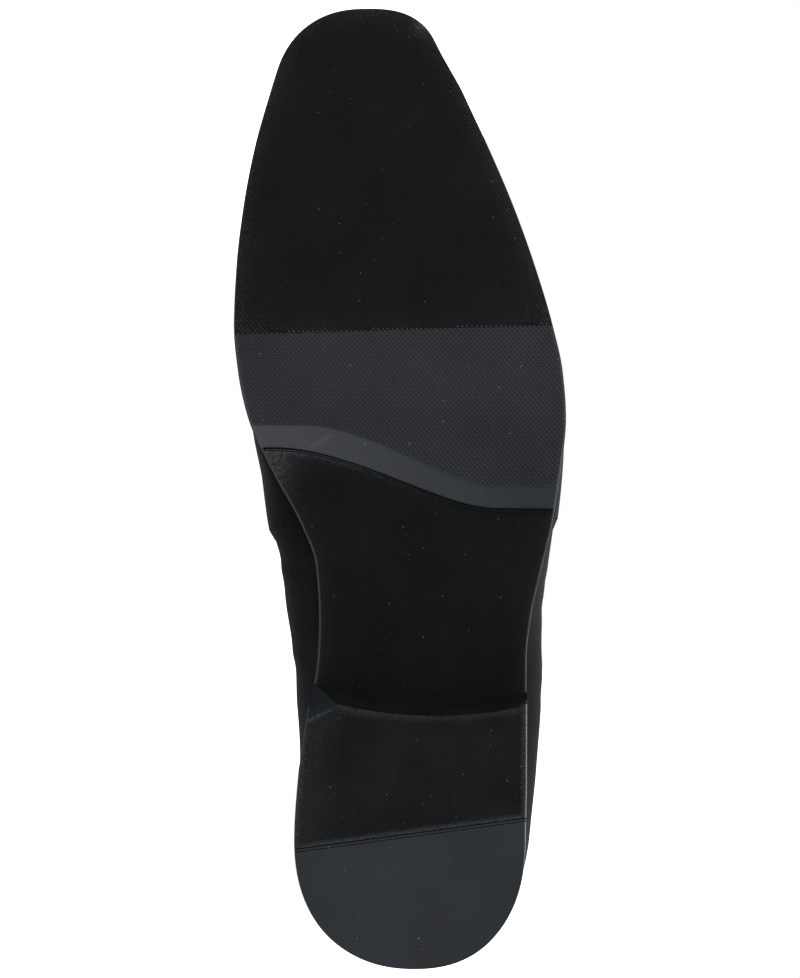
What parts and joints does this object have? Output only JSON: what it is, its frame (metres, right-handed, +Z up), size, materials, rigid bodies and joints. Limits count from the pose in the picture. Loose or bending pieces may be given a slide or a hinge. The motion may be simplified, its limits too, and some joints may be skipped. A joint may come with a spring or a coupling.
{
  "type": "velvet loafer",
  "caption": "Left slip-on loafer in dark velvet with a ribbon-bound collar, close-trimmed rubber sole, S-shaped tread step and low heel with a slanted tip, lying on its inner side.",
  "frame": {"origin": "centre of the shoe's footprint on the floor that it lies on", "axes": "+X along the shoe, from the toe towards the heel; +Y from the sole towards the collar; +Z up, from the inner side that it lies on to its outer side"},
  "size_m": [0.3026, 0.0872, 0.1011],
  "materials": {
    "sole_rubber": "matte dark grey rubber, sanded edge",
    "flocked_tread": "near-black flocked rubber with a fine knurl",
    "heel_rubber": "matte dark grey rubber",
    "flocked_lift": "near-black flocked rubber",
    "smooth_rubber": "smooth blue-grey rubber",
    "sock_leather": "smooth black leather",
    "black_velvet": "navy-black velvet with a short dense nap",
    "ribbed_ribbon": "ribbed black ribbon"
  },
  "bodies": {
    "root": {"outsole": "sole_rubber", "forepart_tread": "flocked_tread", "heel_block": "heel_rubber", "top_lift": "flocked_lift", "heel_tip": "smooth_rubber", "insole": "sock_leather", "upper": "black_velvet", "topline_binding": "ribbed_ribbon"}
  },
  "joints": []
}
